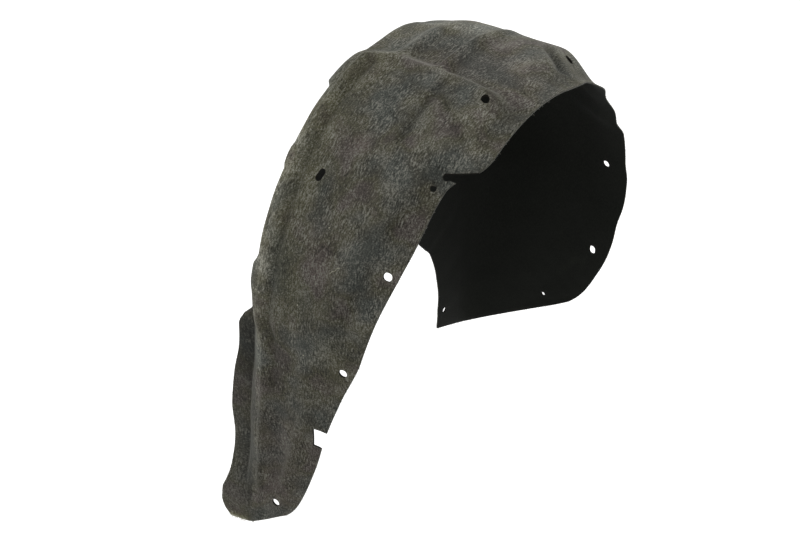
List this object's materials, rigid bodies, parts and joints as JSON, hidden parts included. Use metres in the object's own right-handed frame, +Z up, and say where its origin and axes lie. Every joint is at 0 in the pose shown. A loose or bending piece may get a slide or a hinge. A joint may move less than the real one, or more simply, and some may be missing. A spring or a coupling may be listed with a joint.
{
  "type": "wheel arch liner",
  "caption": "Moulded felt liner that wraps over a car wheel inside its arch, with a long tapered leg, a stepped crown and an inboard side wall.",
  "frame": {"origin": "midpoint of the two crown screw holes, on the felt's mid-plane", "axes": "+Z up, +Y inboard from the wing towards the car's middle, +X along the car from the long leg to the short one"},
  "size_m": [0.7532, 0.4114, 0.848],
  "materials": {
    "felt": "coarse grey needle-punched felt, pressed hard, with a near-black wheel side"
  },
  "bodies": {
    "root": {"liner": "felt"}
  },
  "joints": []
}
